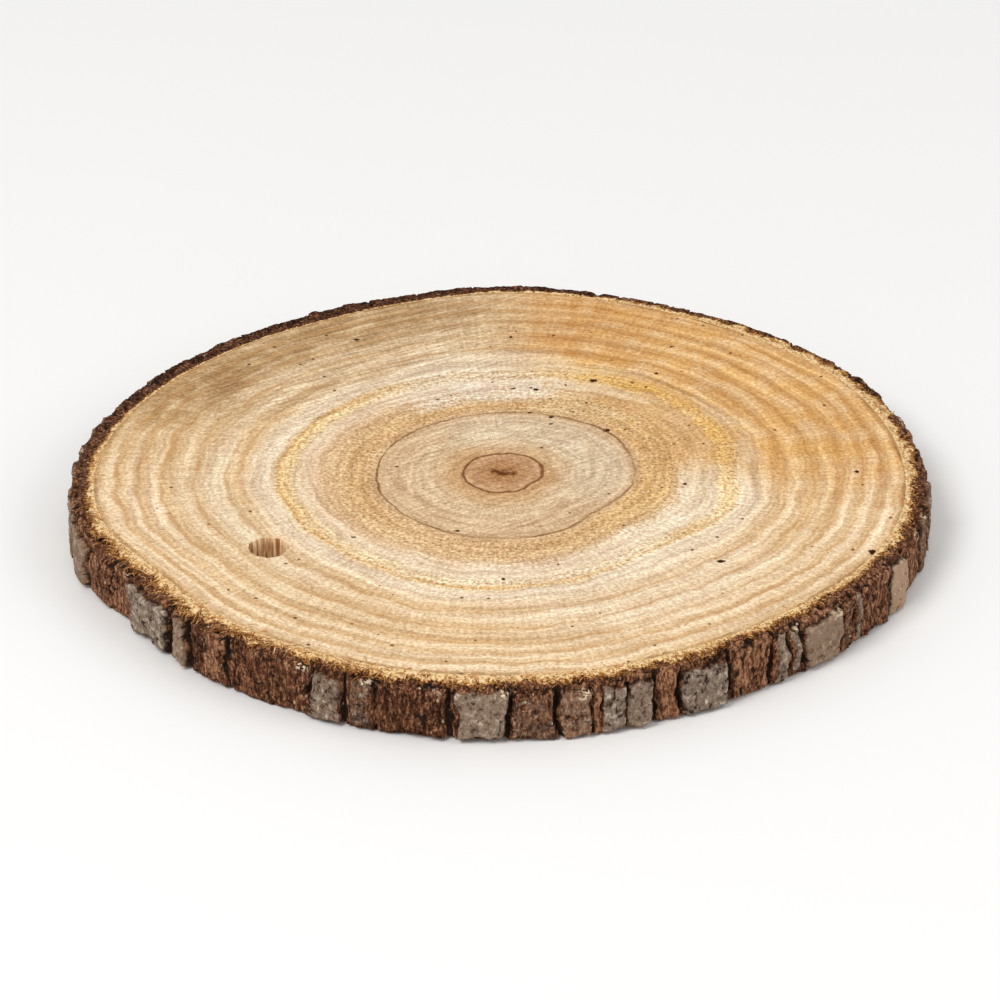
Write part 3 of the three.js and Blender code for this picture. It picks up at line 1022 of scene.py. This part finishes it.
def wood_material(settings):
    """Sawn end grain: tones that follow the rings, warmer or greyer in places and darker towards
    the rim at the back left, partly painted shade, with pores, rays, saw marks and dark specks."""
    material, n = new_material("sawn_wood")
    at = wood_places(n)
    base = tinted(n, at, ring_tones(n, at, settings.pale_wood, settings.late_wood))

    # Light and dark: grain, rays, fine rings and saw marks
    tan = n.between(at.soft, 19.6, 20.6, 25.0, 30.0)
    yellow = n.between(at.soft, 31.2, 32.2, 34.2, 35.0)
    porous = n.most([tan, yellow])
    contrast = n.add(n.times(porous, 1.3), 1.8)
    grain = n.effect("grain", at.place, None, Size=0.55, Contrast=contrast)
    rays = noise_about_pith(n, at, 66.0, n.times(at.radius, 0.11), 0.6)
    rays = n.ease(rays, 0.3, 0.7, 0.88, 1.08)
    fine_rings = noise_about_pith(n, at, 2.2, at.calm, 0.65)
    fine_rings = n.ease(fine_rings, 0.3, 0.7, 0.75, 1.16)
    marks = saw_marks(n, at)
    shade = n.times(grain["Shade"], n.times(rays, fine_rings))
    base = warmly(n, base, n.times(shade, n.add(n.times(marks, 1.4), 0.97)))

    # Pores and crumbs, thick in the tan zone and the yellow ring
    pores = n.effect("specks", at.place, Spacing=0.9, Radius=0.27, Share=0.6)
    pores = n.times(pores, n.add(n.times(porous, 0.5), 0.08))
    base = n.blend(pores, base, "#b07a40")
    shifted = n.vector("ADD", at.place, (3.7, 1.9, 0.0))
    crumbs = n.effect("specks", shifted, Spacing=0.8, Radius=0.25, Share=0.5)
    crumbs = n.times(crumbs, n.add(n.times(porous, 0.45), 0.15))
    base = n.blend(crumbs, base, "#f6e3bd")

    # Specks: tiny ones everywhere, more of them at the back right, and the dark ones of the table
    behind = n.ease(n.along(at.towards, (0.64, 0.77, 0.0)), 0.5, 0.9, 0.0, 0.5)
    crowd = n.times(n.between(at.age, 19.0, 22.0, 33.0, 38.0), behind)
    dots = n.effect("specks", at.place, Spacing=2.0, Radius=0.33, Share=n.add(crowd, 0.16))
    base = n.blend(n.times(dots, 0.85), base, "#4f2c0e")
    knots = knot_mask(n, at)
    base = n.blend(knots, base, "#3a1d0b")
    base = thin_lines(n, at, base, settings.pith)

    # The hole's wall
    streak = n.effect("streaks", at.place, Width=0.5, Stretch=0.08)
    wall = n.blend(streak, "#96541f", "#fbdcae")
    base = n.blend(n.ease(n.attribute("drilled"), 0.35, 0.8), base, wall)

    height = n.add(grain["Height"], n.times(marks, 2.0))
    height = n.less(n.less(height, n.times(pores, 1.2)), knots)
    rough = n.ease(grain["Height"], 0.2, 0.8, 0.68, 0.82)
    principled(n, base, rough, height, 0.07, 0.06)
    return material


def bark_material(settings):
    """Bark: reddish brown and fibrous where it is fresh, grey where it has weathered, painted
    shade nearly black in the cracks, fissures and pits and along the edges of raised scales,
    painted highlights on their upper corners, and pale and woolly next to the wood."""
    material, n = new_material("cracked_bark")
    place = n.place()
    tall = n.vector("MULTIPLY", place, (1.0, 1.0, 0.6))
    streak = n.effect("streaks", place, Width=0.55, Stretch=0.3)
    fine = n.noise(tall, 0.36, 3.0, 0.75)
    rugged = n.patches(place, 7.0, 0.42, 0.58)
    tone = n.attribute("scale_tone")

    # Fresh brown bark: streaks and fine noise, with more contrast in rugged patches
    spread = n.times(n.less(fine, 0.5), n.add(n.times(rugged, 0.6), 0.9))
    mixed = n.add(n.times(streak, 0.32), n.add(spread, 0.455))
    mixed = n.add(n.add(mixed, n.times(tone, 0.1)), n.wander(place, 3.0, 0.35))
    fresh = [(0.4, settings.fresh_dark), (0.62, settings.fresh_bark), (0.9, "#b58462")]
    brown = n.ramp(mixed, fresh)

    # Weathered scales: grey with dark and pale spots, and tan where they have bleached
    lichen = n.noise(place, 1.1, 4.0, 0.7)
    worn = n.add(n.times(lichen, 0.7), n.times(fine, 0.3))
    plain = settings.grey_bark
    grey = n.ramp(worn, [(0.4, "#2c1f16"), (0.475, plain), (0.53, plain), (0.63, "#c4b4a1")])
    grey = n.blend(n.ease(tone, 0.0, 1.0, 0.0, 0.4), grey, "#a58468")
    share = n.add(n.attribute("weathered"), n.times(n.less(lichen, 0.5), 0.7))
    base = n.blend(n.ease(share, 0.15, 0.8), brown, grey)
    base = n.blend(n.ease(share, 1.0, 1.5, 0.0, 0.75), base, "#c09c7f")
    # Painted shade: nearly black in the cracks, fissures and pits and along the edges of raised
    # scales.
    depth = n.ease(n.attribute("painted_shade"), 0.2, 0.85, 0.0, 0.92)
    base = n.blend(depth, base, settings.crack)
    # Painted highlights: pale on the upper corners of raised scales.
    highlight = n.times(n.attribute("painted_highlights"), n.patches(place, 0.6, 0.5, 0.58))
    base = n.blend(highlight, base, "#e6d0b0")

    # The fringe: straw at the wood, then golden, then brown, with each fibre its own tone
    fringe = n.attribute("inner_bark")
    lit = n.add(n.ease(fringe, 0.0, 0.6, 0.1, 0.86), n.wander(place, 0.42, 2.4))
    straw = [(0.05, "#2a160b"), (0.3, "#7a4822"), (0.6, settings.inner_bark), (0.95, "#f6d9a6")]
    base = n.blend(n.ease(fringe, 0.0, 0.25), base, n.ramp(lit, straw))

    # Whitish flecks in the rugged patches
    share = n.add(n.times(rugged, 0.3), 0.08)
    flecks = n.effect("specks", tall, Spacing=0.9, Radius=0.24, Share=share)
    flecks = n.times(flecks, n.ease(lichen, 0.5, 0.62))
    base = n.blend(n.times(flecks, 0.8), base, "#e5d3b8")
    principled(n, base, 0.88, n.add(fine, n.times(streak, 0.5)), 0.2, 0.12)
    return material


def fibre_material(settings):
    """Torn fibres: straw to brown, from one fibre to the next."""
    material, n = new_material("torn_fibre")
    grain = n.effect("grain", n.place(), None, Size=0.3, Contrast=0.8)
    straw = [(0.05, "#4e2c14"), (0.3, "#93592b"), (0.6, settings.inner_bark), (0.95, "#f8dcab")]
    base = n.ramp(n.attribute("fibre_tone"), straw)
    shade = n.put("ShaderNodeCombineColor", dict.fromkeys(range(3), grain["Shade"]))
    base = n.blend(1.0, base, shade, "MULTIPLY")
    principled(n, base, 0.8, grain["Height"], 0.03, 0.2)
    return material


# The stage

FLOOR_RADIUS = 3.0  # in metres
FLOOR_SIDES = 96
FLOOR_DROP = 0.02  # in millimetres, so that the slice and the floor don't meet
SLICE_SHARE = 0.86  # of the picture's width that the slice fills
SENSOR = 36.0
WORLD_STRENGTH = 0.6

# Each light's name, place, width, and power beside the one that is set
LIGHTS = (("key", (-0.55, -0.6, 0.95), 0.6, 1.0), ("fill", (0.9, -0.3, 0.7), 0.8, 0.35))


def floor_piece(settings):
    """A round pale floor, just under the slice."""
    material, n = new_material("pale_floor")
    mottle = n.patches(n.place(), 60.0, 0.3, 0.7, 0.55, 0.6)
    surface = {"Base Color": settings.floor, "Roughness": mottle}
    shader = n.put("ShaderNodeBsdfPrincipled", surface)
    n.put("ShaderNodeOutputMaterial", {"Surface": shader})
    turn = np.arange(FLOOR_SIDES) * 2.0 * math.pi / FLOOR_SIDES
    ring = np.stack([np.cos(turn), np.sin(turn), 0.0 * turn], -1) * FLOOR_RADIUS / MM
    ring[:, 2] = -FLOOR_DROP
    floor = mesh_piece("floor", ring, np.arange(FLOOR_SIDES)[None, :], {}, material)


def studio_lights(settings):
    """A white world, a large soft key light at the front left and a weaker fill at the right."""
    world = bpy.data.worlds.new("studio")
    bpy.context.scene.world = world
    world.use_nodes = True
    background = world.node_tree.nodes["Background"]
    background.inputs["Color"].default_value = (1.0, 1.0, 1.0, 1.0)
    background.inputs["Strength"].default_value = WORLD_STRENGTH
    for name, place, size, share in LIGHTS:
        light = bpy.data.lights.new(name, "AREA")
        light.shape = "DISK"
        light.size = size
        light.energy = settings.key_power * share
        lamp = bpy.data.objects.new(name, light)
        lamp.location = place
        lamp.rotation_euler = aim_at(place, (0.0, 0.0, 0.0))
        bpy.context.scene.collection.objects.link(lamp)


def aim_at(place, target):
    """The turn that points a light or a camera from a place to a target, level with the floor."""
    x, y, z = (t - p for p, t in zip(place, target))
    return (math.atan2(math.hypot(x, y), -z), 0.0, math.atan2(y, x) - math.pi / 2.0)


def camera(settings):
    """The camera in front of the slice, as high above its face as the photograph was taken."""
    low, high = (np.array(corner) for corner in CAD_BOX)
    middle = (low + high) / 2.0
    elevation = settings.elevation
    away = np.array([0.0, -math.cos(elevation), math.sin(elevation)])
    place = middle + settings.distance * away
    data = bpy.data.cameras.new("camera")
    data.sensor_width = SENSOR
    data.lens = SENSOR * SLICE_SHARE * settings.distance / (high[0] - low[0])
    data.clip_start = 0.01
    eye = bpy.data.objects.new("camera", data)
    eye.location = place
    eye.rotation_euler = aim_at(place, middle)
    bpy.context.scene.collection.objects.link(eye)
    bpy.context.scene.camera = eye


# What a user can change


def colour_setting(name, description, code):
    """A colour whose default is a web colour."""
    return bpy.props.FloatVectorProperty(
        name=name, description=description, subtype="COLOR", size=4, min=0.0, max=1.0,
        default=colour(code),
    )


def length_setting(name, description, default, least, most):
    """A length that is given here in millimetres and set in metres."""
    return bpy.props.FloatProperty(
        name=name, description=description, default=default * MM, min=least * MM,
        max=most * MM, unit="LENGTH", precision=5,
    )


class WoodSettings(bpy.types.PropertyGroup):
    pale_wood: colour_setting("Pale wood", "Soft early wood of each ring", "#f4dbb7")
    late_wood: colour_setting("Late wood", "Hard late wood at the end of each ring", "#ddb98a")
    pith: colour_setting("Pith", "The tree's centre", "#5c3010")
    ring_relief: length_setting(
        "Ring relief", "How far the hard wood stands proud of the soft", RING_RELIEF, 0.0, 0.3
    )


class BarkSettings(bpy.types.PropertyGroup):
    fresh_bark: colour_setting("Fresh bark", "Lighter fibres of newly broken bark", "#653e28")
    fresh_dark: colour_setting("Fresh bark, dark", "Darker fibres of newly broken bark", "#2e1608")
    grey_bark: colour_setting("Weathered bark", "Old outer face of the scales", "#857262")
    inner_bark: colour_setting("Inner bark", "Woolly layer next to the wood", "#d09a58")
    # The colour of the painted shade in the cracks, fissures and pits and along the edges of
    # raised scales.
    crack: colour_setting("Cracks", "Depth of the cracks between scales", "#1b100a")
    crack_depth: length_setting(
        "Crack depth", "Depth of the cracks below the scales' floor", 0.9, 0.0, 1.5
    )
    fibres: bpy.props.IntProperty(
        name="Fibres", description="How many torn fibres stand between wood and bark",
        default=9000, min=0, max=15000,
    )
    fibre_length: length_setting(
        "Fibre length", "Length of a typical torn fibre", 1.1, 0.2, 4.0
    )


class StageSettings(bpy.types.PropertyGroup):
    floor: colour_setting("Floor", "Colour of the floor", "#f6f5f3")
    elevation: bpy.props.FloatProperty(
        name="Elevation", description="Angle of the camera above the slice's face",
        default=math.radians(28.7), subtype="ANGLE", unit="ROTATION",
    )
    distance: bpy.props.FloatProperty(
        name="Distance", description="From the camera to the slice's middle",
        default=0.861, min=0.2, subtype="DISTANCE", unit="LENGTH",
    )
    key_power: bpy.props.FloatProperty(
        name="Key light", description="Power of the soft main light",
        default=8.0, min=0.0, unit="POWER",
    )


# Operators and panel


class WOODSLICE_OT_effects(bpy.types.Operator):
    """Make the shader effects that the materials share"""

    bl_idname = "wood_slice.effects"
    bl_label = "Shared effects"

    def execute(self, context):
        shared_effects()
        return {"FINISHED"}


class WOODSLICE_OT_wood(bpy.types.Operator):
    """Make the disc of wood with its growth rings and its hole"""

    bl_idname = "wood_slice.wood"
    bl_label = "Wood"

    def execute(self, context):
        settings = context.scene.slice_wood
        piece = wood_piece(settings, wood_material(settings))
        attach(piece, "root")
        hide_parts("wood_disc")
        return {"FINISHED"}


class WOODSLICE_OT_bark(bpy.types.Operator):
    """Make the ring of cracked bark"""

    bl_idname = "wood_slice.bark"
    bl_label = "Bark"

    def execute(self, context):
        settings = context.scene.slice_bark
        piece = bark_piece(settings, bark_material(settings))
        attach(piece, "root")
        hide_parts("bark_ring")
        return {"FINISHED"}


class WOODSLICE_OT_fibres(bpy.types.Operator):
    """Make the torn fibres between the wood and the bark"""

    bl_idname = "wood_slice.fibres"
    bl_label = "Torn fibres"

    def execute(self, context):
        settings = context.scene.slice_bark
        piece = fibre_piece(settings, fibre_material(settings))
        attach(piece, "root")
        return {"FINISHED"}


class WOODSLICE_OT_stage(bpy.types.Operator):
    """Make the floor, the lights and the camera"""

    bl_idname = "wood_slice.stage"
    bl_label = "Stage"

    def execute(self, context):
        settings = context.scene.slice_stage
        floor_piece(settings)
        studio_lights(settings)
        camera(settings)
        context.scene.view_settings.view_transform = "Standard"
        return {"FINISHED"}


class VIEW3D_PT_wood_slice(bpy.types.Panel):
    """Lists the slice's sizes and colours, and what makes each piece"""

    bl_label = "Wood slice"
    bl_space_type = "VIEW_3D"
    bl_region_type = "UI"
    bl_category = "Wood slice"

    def draw(self, context):
        scene = context.scene
        groups = (
            (scene.slice_wood, ("effects", "wood")),
            (scene.slice_bark, ("bark", "fibres")),
            (scene.slice_stage, ("stage",)),
        )
        for settings, operators in groups:
            column = self.layout.column(align=True)
            for name in settings.__annotations__:
                column.prop(settings, name)
            for operator in operators:
                column.operator("wood_slice." + operator)


CLASSES = (
    WoodSettings,
    BarkSettings,
    StageSettings,
    WOODSLICE_OT_effects,
    WOODSLICE_OT_wood,
    WOODSLICE_OT_bark,
    WOODSLICE_OT_fibres,
    WOODSLICE_OT_stage,
    VIEW3D_PT_wood_slice,
)
SETTINGS = {"slice_wood": WoodSettings, "slice_bark": BarkSettings, "slice_stage": StageSettings}


def register():
    for cls in CLASSES:
        bpy.utils.register_class(cls)
    for name, cls in SETTINGS.items():
        setattr(bpy.types.Scene, name, bpy.props.PointerProperty(type=cls))


def unregister():
    for name in SETTINGS:
        delattr(bpy.types.Scene, name)
    for cls in reversed(CLASSES):
        bpy.utils.unregister_class(cls)


def main():
    """Makes the effects, the pieces and the stage."""
    register()
    bpy.ops.wood_slice.effects()
    bpy.ops.wood_slice.wood()
    bpy.ops.wood_slice.bark()
    bpy.ops.wood_slice.fibres()
    bpy.ops.wood_slice.stage()


if __name__ == "__main__":
    main()
